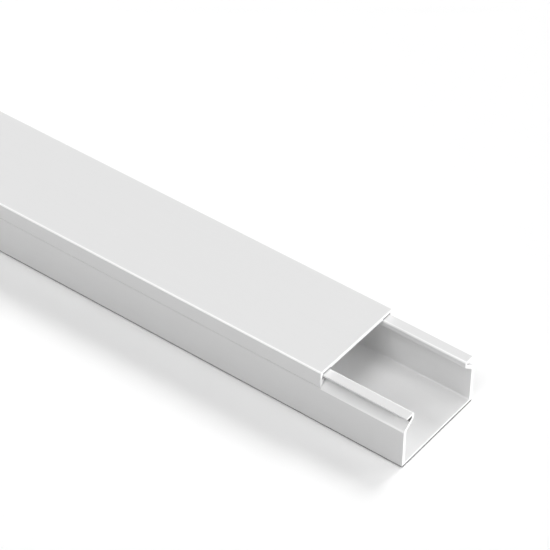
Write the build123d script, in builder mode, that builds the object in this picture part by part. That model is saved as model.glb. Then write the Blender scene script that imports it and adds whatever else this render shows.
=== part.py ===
from build123d import *
from math import cos, radians, sin, tan
import os

# Clip-on cable trunking: a base tray and the cover that clips on to it.
# Both are straight extrusions of rigid PVC, cut square at their ends.
# X runs along the stock, Y across it, and Z up from the flat back.
# The origin is the middle of the base's back. All sizes are in millimetres.

# Overall sizes of the closed trunking
stock_length = 2000.0
section_width = 35.0
section_height = 20.0

# How far the cover is slid back, which bares that much of the base's end
cover_setback = 29.2

# Base tray
back_thickness = 1.2
side_wall_thickness = 1.2
slope_angle = 38.0
slope_thickness = 1.1
lip_thickness = 0.65
lip_reach = 4.7
nose_thickness = 0.9
slot_height = 0.83

# Cover
top_thickness = 1.35
flange_thickness = 0.9
hook_thickness = 0.7
hook_angle = 48.0

# Clearances of the clip fit
lip_to_top_gap = 0.2
lip_to_flange_gap = 0.2
flange_to_slope_gap = 0.12
hook_to_lip_gap = 0.2

# Corners rounded by the extrusion die
outer_corner_radius = 0.35
root_radius = 0.5
nose_radius = 0.5
slot_radius = 0.3
lip_corner_radius = 0.15
shoulder_radius = 0.1
hook_corner_radius = 0.12
flange_corner_radius = 0.06

# Heights and distances from the middle that both sections share
slope = radians(slope_angle)
hook_lean = radians(hook_angle)
half_width = section_width / 2
top_underside = section_height - top_thickness
lip_top = top_underside - lip_to_top_gap
lip_underside = lip_top - lip_thickness
nose_face = half_width - lip_reach
slot_end = nose_face + nose_thickness
slope_top = lip_underside - slot_height
shoulder_height = slope_top - (half_width - slot_end) * tan(slope)
flange_inside = half_width - flange_thickness


def corners_near(section, *places):
    """Pick the section's corners that lie at the given places."""
    return [section.vertices().sort_by_distance(place)[0] for place in places]


# Base tray: a flat back, two upright walls, and along each wall's top a slope
# that leans inwards and folds back outwards into a flat lip. A narrow slot
# stays open between the slope and the lip, as far in as the rounded nose.
# Half of the section is drawn and extruded, and the other half is its mirror.
wall_inside = half_width - side_wall_thickness
lip_tip = flange_inside - lip_to_flange_gap
slope_depth = slope_thickness / cos(slope)
nose_bottom = shoulder_height + (half_width - nose_face) * tan(slope) - slope_depth
slope_root = shoulder_height + side_wall_thickness * tan(slope) - slope_depth

back_corner = (half_width, 0)
floor_root = (wall_inside, back_thickness)
shoulder = (half_width, shoulder_height)
slot_floor = (slot_end, slope_top)
slot_roof = (slot_end, lip_underside)
lip_tip_under = (lip_tip, lip_underside)
lip_tip_upper = (lip_tip, lip_top)
nose_upper = (nose_face, lip_top)
nose_lower = (nose_face, nose_bottom)
wall_root = (wall_inside, slope_root)

with BuildPart() as trunking_base:
    with BuildSketch(Plane.YZ.offset(-stock_length / 2)) as base_section:
        with BuildLine():
            Polyline(
                (0, 0),
                back_corner,
                shoulder,
                slot_floor,
                slot_roof,
                lip_tip_under,
                lip_tip_upper,
                nose_upper,
                nose_lower,
                wall_root,
                floor_root,
                (0, back_thickness),
                close=True,
            )
        make_face()
        fillet(corners_near(base_section, back_corner), outer_corner_radius)
        fillet(corners_near(base_section, floor_root, wall_root), root_radius)
        fillet(corners_near(base_section, shoulder), shoulder_radius)
        fillet(corners_near(base_section, nose_upper, nose_lower), nose_radius)
        fillet(corners_near(base_section, slot_floor, slot_roof), slot_radius)
        fillet(corners_near(base_section, lip_tip_under, lip_tip_upper), lip_corner_radius)
    extrude(amount=stock_length)
    mirror(about=Plane.XZ)

# Cover: a flat top, and along each side a flange that ends in a hook.
# The hook turns up and inwards above the base's slope, and its tip catches
# under the base's lip. The flange is flush with the base's wall below it.
flange_bottom = shoulder_height + flange_to_slope_gap / cos(slope)
hook_depth = hook_thickness / cos(hook_lean)
notch_bottom = flange_bottom + flange_thickness * tan(hook_lean) + hook_depth
hook_top = lip_underside - hook_to_lip_gap
hook_tip = half_width - (hook_top - flange_bottom - hook_depth) / tan(hook_lean)

top_corner = (half_width, section_height)
flange_corner = (half_width, flange_bottom)
hook_tip_under = (hook_tip - hook_thickness * sin(hook_lean), hook_top - hook_thickness * cos(hook_lean))
hook_tip_upper = (hook_tip, hook_top)
top_root = (flange_inside, top_underside)

with BuildPart() as trunking_cover:
    with BuildSketch(Plane.YZ.offset(-stock_length / 2 - cover_setback)) as cover_section:
        with BuildLine():
            Polyline(
                (0, section_height),
                top_corner,
                flange_corner,
                hook_tip_under,
                hook_tip_upper,
                (flange_inside, notch_bottom),
                top_root,
                (0, top_underside),
                close=True,
            )
        make_face()
        fillet(corners_near(cover_section, top_corner), outer_corner_radius)
        fillet(corners_near(cover_section, top_root), root_radius)
        fillet(corners_near(cover_section, flange_corner), flange_corner_radius)
        fillet(corners_near(cover_section, hook_tip_under, hook_tip_upper), hook_corner_radius)
    extrude(amount=stock_length)
    mirror(about=Plane.XZ)

trunking_base.part.label = "trunking_base"
trunking_cover.part.label = "trunking_cover"

os.makedirs("parts", exist_ok=True)
export_step(trunking_base.part, "parts/trunking_base.step")
export_step(trunking_cover.part, "parts/trunking_cover.step")
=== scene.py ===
from math import cos, radians, sin, tan

import bmesh
import bpy
from mathutils import Matrix, Quaternion, Vector


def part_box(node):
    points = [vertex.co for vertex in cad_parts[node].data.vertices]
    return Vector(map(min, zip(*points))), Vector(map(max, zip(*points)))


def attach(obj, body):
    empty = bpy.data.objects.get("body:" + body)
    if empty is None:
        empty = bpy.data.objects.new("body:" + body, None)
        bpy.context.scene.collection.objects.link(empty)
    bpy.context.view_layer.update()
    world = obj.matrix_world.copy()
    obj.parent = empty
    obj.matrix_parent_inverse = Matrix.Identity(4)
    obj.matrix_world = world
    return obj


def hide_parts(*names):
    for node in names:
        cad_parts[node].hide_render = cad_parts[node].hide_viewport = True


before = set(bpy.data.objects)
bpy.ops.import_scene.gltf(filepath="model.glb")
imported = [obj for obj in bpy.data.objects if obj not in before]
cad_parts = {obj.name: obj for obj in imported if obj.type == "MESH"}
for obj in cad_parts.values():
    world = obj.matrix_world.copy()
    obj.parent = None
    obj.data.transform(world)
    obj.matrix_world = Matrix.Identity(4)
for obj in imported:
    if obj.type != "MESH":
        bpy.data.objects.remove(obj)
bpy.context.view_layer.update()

# Camera. A long lens looks down on the bared end of the trunking from its near side,
# so the stock runs off past the left edge of the picture. Distances are in metres.
CAMERA_FROM_END = Vector((0.2839, -0.4529, 0.5257))
CAMERA_AZIMUTH = radians(37.14)
CAMERA_ELEVATION = radians(41.17)
CAMERA_ROLL = radians(0.56)
PICTURE_WIDTH_IN_PIXELS = 550
FOCAL_LENGTH_IN_PIXELS = 2595.0
SENSOR_WIDTH_IN_MM = 36.0
NEAREST_SEEN = 0.01
FARTHEST_SEEN = 50.0

base_low, base_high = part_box("trunking_base")
camera_data = bpy.data.cameras.new("photo_camera")
camera_data.sensor_width = SENSOR_WIDTH_IN_MM
camera_data.lens = FOCAL_LENGTH_IN_PIXELS / PICTURE_WIDTH_IN_PIXELS * SENSOR_WIDTH_IN_MM
camera_data.clip_start = NEAREST_SEEN
camera_data.clip_end = FARTHEST_SEEN
camera = bpy.data.objects.new("photo_camera", camera_data)
bpy.context.scene.collection.objects.link(camera)
look = Vector((
    -sin(CAMERA_AZIMUTH) * cos(CAMERA_ELEVATION),
    cos(CAMERA_AZIMUTH) * cos(CAMERA_ELEVATION),
    -sin(CAMERA_ELEVATION),
))
camera.location = Vector((base_high.x, 0, 0)) + CAMERA_FROM_END
camera.rotation_mode = "QUATERNION"
camera.rotation_quaternion = look.to_track_quat("-Z", "Y") @ Quaternion((0, 0, 1), CAMERA_ROLL)
bpy.context.scene.camera = camera

# Studio floor. A broad flat floor painted matt white, on which the trunking lies on its back.
# Matt paint takes a soft shadow and gives no reflection, and its white is the picture's background.
FLOOR_WIDTH = 30.0
FLOOR_COLOUR = "#FEFEFE"


def linear(hex_colour):
    """An sRGB hex colour as linear red, green, blue and alpha."""
    values = [int(hex_colour[i:i + 2], 16) / 255 for i in (1, 3, 5)]
    return [v / 12.92 if v <= 0.04045 else ((v + 0.055) / 1.055) ** 2.4 for v in values] + [1.0]


def add_node(tree, kind, settings=None, **links):
    """Add a shader node, set its properties and values, and link its inputs."""
    node = tree.nodes.new(kind)
    for name, value in (settings or {}).items():
        if hasattr(node, name):
            setattr(node, name, value)
        else:
            node.inputs[name].default_value = value
    for name, source in links.items():
        tree.links.new(source, node.inputs[name.replace("_", " ")])
    return node


def new_material(name):
    """An empty material, its node tree and its output node."""
    material = bpy.data.materials.new(name)
    material.use_nodes = True
    material.node_tree.nodes.clear()
    return material, material.node_tree, material.node_tree.nodes.new("ShaderNodeOutputMaterial")


floor_mesh = bmesh.new()
bmesh.ops.create_grid(floor_mesh, x_segments=1, y_segments=1, size=FLOOR_WIDTH / 2)
floor_data = bpy.data.meshes.new("studio_floor")
floor_mesh.to_mesh(floor_data)
floor_mesh.free()
floor = bpy.data.objects.new("studio_floor", floor_data)
bpy.context.scene.collection.objects.link(floor)
floor_paint, tree, output = new_material("matt white studio paint")
matt = add_node(tree, "ShaderNodeBsdfDiffuse", {"Color": linear(FLOOR_COLOUR)})
tree.links.new(matt.outputs["BSDF"], output.inputs["Surface"])
floor_data.materials.append(floor_paint)


# Studio light. Soft lamps behind the stock and above it throw its shadow towards the camera. Two in front
# fill the near wall, and a low one off the bared end whitens the sawn faces. The white backdrop shows
# only to the camera and in reflections.
def add_sun(name, azimuth, elevation, strength, spread):
    """A soft lamp so far off that it lights the whole length evenly. Azimuth 0 is behind the stock."""
    came_from = Vector((
        sin(radians(azimuth)) * cos(radians(elevation)),
        cos(radians(azimuth)) * cos(radians(elevation)),
        sin(radians(elevation)),
    ))
    data = bpy.data.lights.new(name, "SUN")
    data.energy = strength
    data.angle = radians(spread)
    lamp = bpy.data.objects.new(name, data)
    lamp.rotation_mode = "QUATERNION"
    lamp.rotation_quaternion = (-came_from).to_track_quat("-Z", "Y")
    bpy.context.scene.collection.objects.link(lamp)


add_sun("back_lamp", azimuth=0, elevation=48, strength=1.22, spread=22)
add_sun("back_right_lamp", azimuth=42, elevation=39, strength=0.69, spread=30)
add_sun("top_lamp", azimuth=0, elevation=90, strength=0.42, spread=25)
add_sun("front_lamp", azimuth=180, elevation=55, strength=0.80, spread=30)
add_sun("front_low_lamp", azimuth=180, elevation=12, strength=0.22, spread=30)
add_sun("end_lamp", azimuth=90, elevation=18, strength=2.30, spread=30)

BACKDROP_COLOUR = "#FFFFFF"

world = bpy.data.worlds.new("studio_backdrop")
world.use_nodes = True
bpy.context.scene.world = world
tree = world.node_tree
tree.nodes.clear()
world_output = tree.nodes.new("ShaderNodeOutputWorld")
ray = add_node(tree, "ShaderNodeLightPath")
seen = add_node(tree, "ShaderNodeMath", {"operation": "MAXIMUM"})
tree.links.new(ray.outputs["Is Camera Ray"], seen.inputs[0])
tree.links.new(ray.outputs["Is Glossy Ray"], seen.inputs[1])
backdrop = add_node(tree, "ShaderNodeBackground", {"Color": linear(BACKDROP_COLOUR)},
                    Strength=seen.outputs[0])
tree.links.new(backdrop.outputs[0], world_output.inputs["Surface"])
bpy.context.scene.view_settings.view_transform = "Standard"

# Base tray. One length of extruded rigid PVC: a flat back, two upright walls, and along each wall's top
# a slope that leans inwards and folds back outwards into a flat lip, under which the cover's hooks catch.
# It is sawn square at its ends, which leaves a rougher face than the die does, and whiter: partly the saw's
# whitening, partly a painted highlight.
MM = 0.001
BACK_THICKNESS = 1.2 * MM
WALL_THICKNESS = 1.2 * MM
SLOPE = radians(38)
SLOPE_THICKNESS = 1.1 * MM
LIP_THICKNESS = 0.65 * MM
LIP_REACH = 4.7 * MM
LIP_SHORT_OF_SIDE = 1.1 * MM
NOSE_THICKNESS = 0.9 * MM
SLOT_HEIGHT = 0.83 * MM
FOOT_RADIUS = 0.35 * MM
SHOULDER_RADIUS = 0.35 * MM
LIP_RADIUS = 0.15 * MM
NOSE_RADIUS = 0.5 * MM
SLOT_RADIUS = 0.3 * MM
ROOT_RADIUS = 0.5 * MM
RIM_RADIUS = 0.08 * MM
# How far in from the side the painted highlight on the slopes reaches, and how high the painted shade
# reaches at the foot and the ends.
SLOPE_HIGHLIGHT_WIDTH = 2.75 * MM
FOOT_SHADE_HEIGHT = 0.45 * MM
END_SHADE_HEIGHT = 0.62 * MM

cover_low, cover_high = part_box("trunking_cover")
half_width = base_high.y
lip_top = base_high.z
lip_under = lip_top - LIP_THICKNESS
nose_face = half_width - LIP_REACH
slot_end = nose_face + NOSE_THICKNESS
slope_top = lip_under - SLOT_HEIGHT
shoulder_height = slope_top - (half_width - slot_end) * tan(SLOPE)
slope_depth = SLOPE_THICKNESS / cos(SLOPE)
nose_bottom = shoulder_height + LIP_REACH * tan(SLOPE) - slope_depth
wall_inside = half_width - WALL_THICKNESS
wall_inner_top = shoulder_height + WALL_THICKNESS * tan(SLOPE) - slope_depth
lip_tip = half_width - LIP_SHORT_OF_SIDE
slope_highlight_from = half_width - SLOPE_HIGHLIGHT_WIDTH

# The die draws lines about 0.2 mm wide along the stock, and the saw's teeth leave marks as fine. Both are
# too fine to show, so the lines are drawn nine to 10 mm and 25 mm long, and the marks three to 2 mm and
# 5 mm high.
DIE_LINE_WIDTH = 10 * MM / 9
DIE_LINE_LENGTH = 25 * MM
SAW_MARK_WIDTH = 2 * MM / 3
SAW_MARK_HEIGHT = 5 * MM
MARK_DEPTH = 0.1 * MM
DIE_LINES = (1 / DIE_LINE_LENGTH, 1 / DIE_LINE_WIDTH, 1 / DIE_LINE_WIDTH)
SAW_MARKS = (1 / SAW_MARK_WIDTH, 1 / SAW_MARK_WIDTH, 1 / SAW_MARK_HEIGHT)
PVC_IOR = 1.53

# A Mix node's colours share their names with its other sockets, so they are taken by number.
MIX_COLOUR_INPUTS = (6, 7)
MIX_COLOUR_OUTPUT = 2


def rigid_pvc(name, hex_colour, roughness, mottle, bump, marks):
    """Rigid PVC whose colour and surface vary a little along the marks of the die or the saw."""
    material, tree, output = new_material(name)
    place = add_node(tree, "ShaderNodeTexCoord")
    drawn_out = add_node(tree, "ShaderNodeMapping", {"Scale": marks}, Vector=place.outputs["Object"])
    grain = add_node(tree, "ShaderNodeTexNoise", {"Scale": 1.0, "Detail": 3.0, "Roughness": 0.6},
                     Vector=drawn_out.outputs["Vector"])
    light = linear(hex_colour)
    dark = [v * (1 - mottle) for v in light[:3]] + [1.0]
    tint = add_node(tree, "ShaderNodeMix", {"data_type": "RGBA"}, Factor=grain.outputs["Fac"])
    for number, colour in zip(MIX_COLOUR_INPUTS, (dark, light)):
        tint.inputs[number].default_value = colour
    relief = add_node(tree, "ShaderNodeBump", {"Strength": bump, "Distance": MARK_DEPTH},
                      Height=grain.outputs["Fac"])
    shader = add_node(tree, "ShaderNodeBsdfPrincipled", {"Roughness": roughness, "IOR": PVC_IOR},
                      Base_Color=tint.outputs[MIX_COLOUR_OUTPUT], Normal=relief.outputs["Normal"])
    tree.links.new(shader.outputs["BSDF"], output.inputs["Surface"])
    return material


# As extruded, the PVC has the skin of the polished die: pale grey, with a wide, soft sheen.
pvc_extruded = rigid_pvc("rigid uPVC, extruded", "#E1E1E1",
                         roughness=0.42, mottle=0.02, bump=0.05, marks=DIE_LINES)
# Painted highlight: a glossier, nearly white copy of the PVC, which draws thin bright lines along the
# front's edges and on the bared slopes.
pvc_painted_highlight = rigid_pvc("rigid uPVC, painted highlight", "#FAFAFA",
                       roughness=0.28, mottle=0.01, bump=0.03, marks=DIE_LINES)
# Sawn, it is matt and paler, with short upright marks from the teeth. The paler colour is partly the saw's
# whitening and partly a painted highlight on the ends.
pvc_sawn = rigid_pvc("rigid uPVC, sawn", "#ECECEC",
                     roughness=0.60, mottle=0.03, bump=0.15, marks=SAW_MARKS)
# Inside it is painted paler than outside, with the same sheen: painted light that lifts the shade in the
# tray and under the cover.
pvc_inside_painted_paler = rigid_pvc("rigid uPVC, inside, painted paler", "#E9E9E9",
                       roughness=0.42, mottle=0.02, bump=0.05, marks=DIE_LINES)
# Painted shade at the foot, at the bottom of the flanges, and on the cover's ends where they sit on the
# lips, makes a thin, dull, dark line.
pvc_painted_shade = rigid_pvc("rigid uPVC, painted shade at foot and rims", "#484848",
                      roughness=0.70, mottle=0.05, bump=0.05, marks=DIE_LINES)
# Painted shade in the slots, a dull mid grey, deepens the shade under the lips.
pvc_slot_shade = rigid_pvc("rigid uPVC, painted shade in the slots", "#909090",
                      roughness=0.70, mottle=0.05, bump=0.05, marks=DIE_LINES)
finishes = [pvc_extruded, pvc_painted_highlight, pvc_sawn, pvc_inside_painted_paler, pvc_painted_shade, pvc_slot_shade]
EXTRUDED, PAINTED_HIGHLIGHT, SAWN, INSIDE, PAINTED_SHADE, SLOT_SHADE = range(len(finishes))

# The directions of the stock, and how much of its normal a face needs in one to count as square to it,
# as an end or its rim, as facing up, or as facing the back.
ALONG = Vector((1, 0, 0))
ACROSS = Vector((0, 1, 0))
UP = Vector((0, 0, 1))
SQUARE = 0.99
END_ON = 0.5
FACING_UP = 0.3
FACING_BACK = 0.2

# Points within SAME are one point, and a face within NEAR of a place counts as lying there.
SAME = 0.001 * MM
NEAR = 0.01 * MM


def sweep_half_section(outline, low_x, high_x):
    """Draw half of a section as one face at the far end, and sweep it along the stock."""
    mesh = bmesh.new()
    face = mesh.faces.new([mesh.verts.new((low_x, across, up)) for across, up in outline])
    swept = bmesh.ops.extrude_face_region(mesh, geom=[face])
    moved = [item for item in swept["geom"] if isinstance(item, bmesh.types.BMVert)]
    bmesh.ops.translate(mesh, verts=moved, vec=ALONG * (high_x - low_x))
    return mesh


def round_edges(mesh, edges, radius, segments, finish):
    """Round the edges, and give the new faces their finish."""
    made = bmesh.ops.bevel(mesh, geom=edges, offset=radius, offset_type="OFFSET", segments=segments,
                           profile=0.5, affect="EDGES", material=-1)
    for face in made["faces"]:
        face.material_index = finish
        face.smooth = True


def round_long_edges(mesh, corners, radius, segments, finish):
    """Round the edges that run along the stock at the given corners of the section."""
    chosen = []
    for edge in mesh.edges:
        a, b = edge.verts
        along = abs(a.co.x - b.co.x) > abs(a.co.y - b.co.y) + abs(a.co.z - b.co.z)
        if along and any(abs(a.co.y - y) < SAME and abs(a.co.z - z) < SAME for y, z in corners):
            chosen.append(edge)
    round_edges(mesh, chosen, radius, segments, finish)


def mirror_and_trim(mesh):
    """Open the half at the middle, mirror it, and break the rims of the sawn ends."""
    inner = [face for face in mesh.faces if all(abs(vert.co.y) < SAME for vert in face.verts)]
    bmesh.ops.delete(mesh, geom=inner, context="FACES_ONLY")
    everything = mesh.verts[:] + mesh.edges[:] + mesh.faces[:]
    bmesh.ops.mirror(mesh, geom=everything, matrix=Matrix.Identity(4), merge_dist=SAME, axis="Y")
    bmesh.ops.remove_doubles(mesh, verts=mesh.verts[:], dist=SAME)
    middle = [edge for edge in mesh.edges if all(abs(vert.co.y) < SAME for vert in edge.verts)]
    bmesh.ops.dissolve_edges(mesh, edges=middle, use_verts=True)
    bmesh.ops.recalc_face_normals(mesh, faces=mesh.faces[:])
    sawn = [face for face in mesh.faces if abs(face.normal.x) > SQUARE]
    for face in sawn:
        face.material_index = SAWN
    rims = [edge for edge in mesh.edges if any(face in sawn for face in edge.link_faces)]
    round_edges(mesh, rims, RIM_RADIUS, segments=2, finish=SAWN)
    mesh.normal_update()


def part_faces(mesh, direction, distance):
    """Part the faces at a plane square to the direction, so that a finish can end there."""
    bmesh.ops.bisect_plane(mesh, geom=mesh.verts[:] + mesh.edges[:] + mesh.faces[:],
                           plane_co=direction * distance, plane_no=direction)


def set_finishes(mesh, choose):
    """Give each plain face the finish chosen for its place, and keep painted highlights to edges that face
    the front.
    """
    for face in mesh.faces:
        if face.material_index == EXTRUDED:
            face.material_index = choose(face)
        if face.material_index == PAINTED_HIGHLIGHT and face.normal.y > FACING_BACK:
            face.material_index = EXTRUDED


def finish_piece(mesh, name, body):
    """Turn the mesh into a piece with its finishes, riding on its body."""
    data = bpy.data.meshes.new(name)
    mesh.to_mesh(data)
    mesh.free()
    for material in finishes:
        data.materials.append(material)
    piece = bpy.data.objects.new(name, data)
    bpy.context.scene.collection.objects.link(piece)
    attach(piece, body)
    return piece


base_outline = [
    (0, 0),
    (half_width, 0),
    (half_width, shoulder_height),
    (slot_end, slope_top),
    (slot_end, lip_under),
    (lip_tip, lip_under),
    (lip_tip, lip_top),
    (nose_face, lip_top),
    (nose_face, nose_bottom),
    (wall_inside, wall_inner_top),
    (wall_inside, BACK_THICKNESS),
    (0, BACK_THICKNESS),
]
lip_corners = [(lip_tip, lip_under), (lip_tip, lip_top)]
slot_corners = [(slot_end, slope_top), (slot_end, lip_under)]
wall_roots = [(wall_inside, wall_inner_top), (wall_inside, BACK_THICKNESS)]
mesh = sweep_half_section(base_outline, base_low.x, base_high.x)
# The foot's rounding takes painted shade for its contact shadow, and the shoulder's and the nose's top
# roundings take painted highlights.
round_long_edges(mesh, [(half_width, 0)], FOOT_RADIUS, segments=4, finish=PAINTED_SHADE)
round_long_edges(mesh, [(half_width, shoulder_height)], SHOULDER_RADIUS, segments=4, finish=PAINTED_HIGHLIGHT)
round_long_edges(mesh, lip_corners, LIP_RADIUS, segments=3, finish=EXTRUDED)
round_long_edges(mesh, [(nose_face, lip_top)], NOSE_RADIUS, segments=5, finish=PAINTED_HIGHLIGHT)
round_long_edges(mesh, [(nose_face, nose_bottom)], NOSE_RADIUS, segments=5, finish=EXTRUDED)
round_long_edges(mesh, slot_corners, SLOT_RADIUS, segments=4, finish=EXTRUDED)
round_long_edges(mesh, wall_roots, ROOT_RADIUS, segments=4, finish=EXTRUDED)
mirror_and_trim(mesh)
part_faces(mesh, UP, FOOT_SHADE_HEIGHT)
part_faces(mesh, UP, END_SHADE_HEIGHT)
part_faces(mesh, ALONG, cover_high.x)
part_faces(mesh, ACROSS, -slope_highlight_from)
part_faces(mesh, ACROSS, slope_highlight_from)


def base_finish(face):
    """The slopes take a painted highlight, the slots painted shade, and the rest of the inside is painted
    paler.
    """
    centre = face.calc_center_median()
    across = abs(centre.y)
    up = centre.z
    if across > half_width - NEAR or not BACK_THICKNESS - NEAR < up < lip_under + NEAR:
        return EXTRUDED
    if across > slope_highlight_from and up > shoulder_height and face.normal.z > FACING_UP:
        return PAINTED_HIGHLIGHT
    in_slot = face.normal.z > FACING_UP or up > slope_top
    if across > slot_end - NEAR and up > shoulder_height and in_slot:
        return SLOT_SHADE
    return INSIDE


set_finishes(mesh, base_finish)
# The painted highlight lies only on the bared shoulder: under the cover it stays as extruded. Painted shade
# draws a dark line round the foot, for its contact shadow.
for face in mesh.faces:
    centre = face.calc_center_median()
    if centre.x < cover_high.x and abs(centre.y) > lip_tip and face.material_index == PAINTED_HIGHLIGHT:
        face.material_index = EXTRUDED
    shade_top = END_SHADE_HEIGHT if abs(face.normal.x) > END_ON else FOOT_SHADE_HEIGHT
    if centre.z < shade_top and face.normal.z > -SQUARE:
        face.material_index = PAINTED_SHADE
base = finish_piece(mesh, "trunking_base_extrusion", "base")
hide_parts("trunking_base")

# Cover. One length of the same extruded PVC, sawn square: a flat top, and along each side a flange
# that turns up and inwards at its bottom into a hook, which clips under the base's lip and can slide there.
TOP_THICKNESS = 1.35 * MM
FLANGE_THICKNESS = 0.9 * MM
HOOK_THICKNESS = 0.7 * MM
HOOK_LEAN = radians(48)
FLANGE_TO_SLOPE_GAP = 0.12 * MM
HOOK_TO_LIP_GAP = 0.2 * MM
TOP_RADIUS = 0.45 * MM
FLANGE_RADIUS = 0.1 * MM
HOOK_RADIUS = 0.12 * MM
FLANGE_ROOT_RADIUS = 0.5 * MM
# Painted shade reaches this high on the top's ends, where they sit on the lips.
LIP_SHADE_HEIGHT = 0.38 * MM

cover_top = cover_high.z
top_under = cover_top - TOP_THICKNESS
flange_inside = half_width - FLANGE_THICKNESS
flange_bottom = shoulder_height + FLANGE_TO_SLOPE_GAP / cos(SLOPE)
hook_depth = HOOK_THICKNESS / cos(HOOK_LEAN)
hook_root = flange_bottom + FLANGE_THICKNESS * tan(HOOK_LEAN) + hook_depth
hook_top = lip_under - HOOK_TO_LIP_GAP
hook_tip = half_width - (hook_top - flange_bottom - hook_depth) / tan(HOOK_LEAN)
hook_under_tip = (hook_tip - HOOK_THICKNESS * sin(HOOK_LEAN), hook_top - HOOK_THICKNESS * cos(HOOK_LEAN))
lip_shade_top = top_under + LIP_SHADE_HEIGHT
cover_outline = [
    (0, cover_top),
    (half_width, cover_top),
    (half_width, flange_bottom),
    hook_under_tip,
    (hook_tip, hook_top),
    (flange_inside, hook_root),
    (flange_inside, top_under),
    (0, top_under),
]
mesh = sweep_half_section(cover_outline, cover_low.x, cover_high.x)
# The top's outer rounding takes a painted highlight, and the flange's bottom rounding painted shade for the
# gap above the shoulder.
round_long_edges(mesh, [(half_width, cover_top)], TOP_RADIUS, segments=4, finish=PAINTED_HIGHLIGHT)
round_long_edges(mesh, [(half_width, flange_bottom)], FLANGE_RADIUS, segments=2, finish=PAINTED_SHADE)
round_long_edges(mesh, [hook_under_tip, (hook_tip, hook_top)], HOOK_RADIUS, segments=3, finish=EXTRUDED)
round_long_edges(mesh, [(flange_inside, top_under)], FLANGE_ROOT_RADIUS, segments=4, finish=EXTRUDED)
mirror_and_trim(mesh)


def cover_finish(face):
    """All below the top and inwards of the flanges' outer faces is painted paler, as inside the base."""
    centre = face.calc_center_median()
    return INSIDE if abs(centre.y) < half_width - NEAR and centre.z < top_under + NEAR else EXTRUDED


set_finishes(mesh, cover_finish)
# Painted shade also darkens the top's sawn ends low down, where they sit on the lips, for the shade of the
# gap.
part_faces(mesh, UP, lip_shade_top)
for side in (-lip_tip, -nose_face, nose_face, lip_tip):
    part_faces(mesh, ACROSS, side)
for face in mesh.faces:
    centre = face.calc_center_median()
    over_lip = top_under < centre.z < lip_shade_top and nose_face < abs(centre.y) < lip_tip
    if over_lip and abs(face.normal.x) > END_ON:
        face.material_index = PAINTED_SHADE
cover = finish_piece(mesh, "trunking_cover_extrusion", "cover")
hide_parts("trunking_cover")
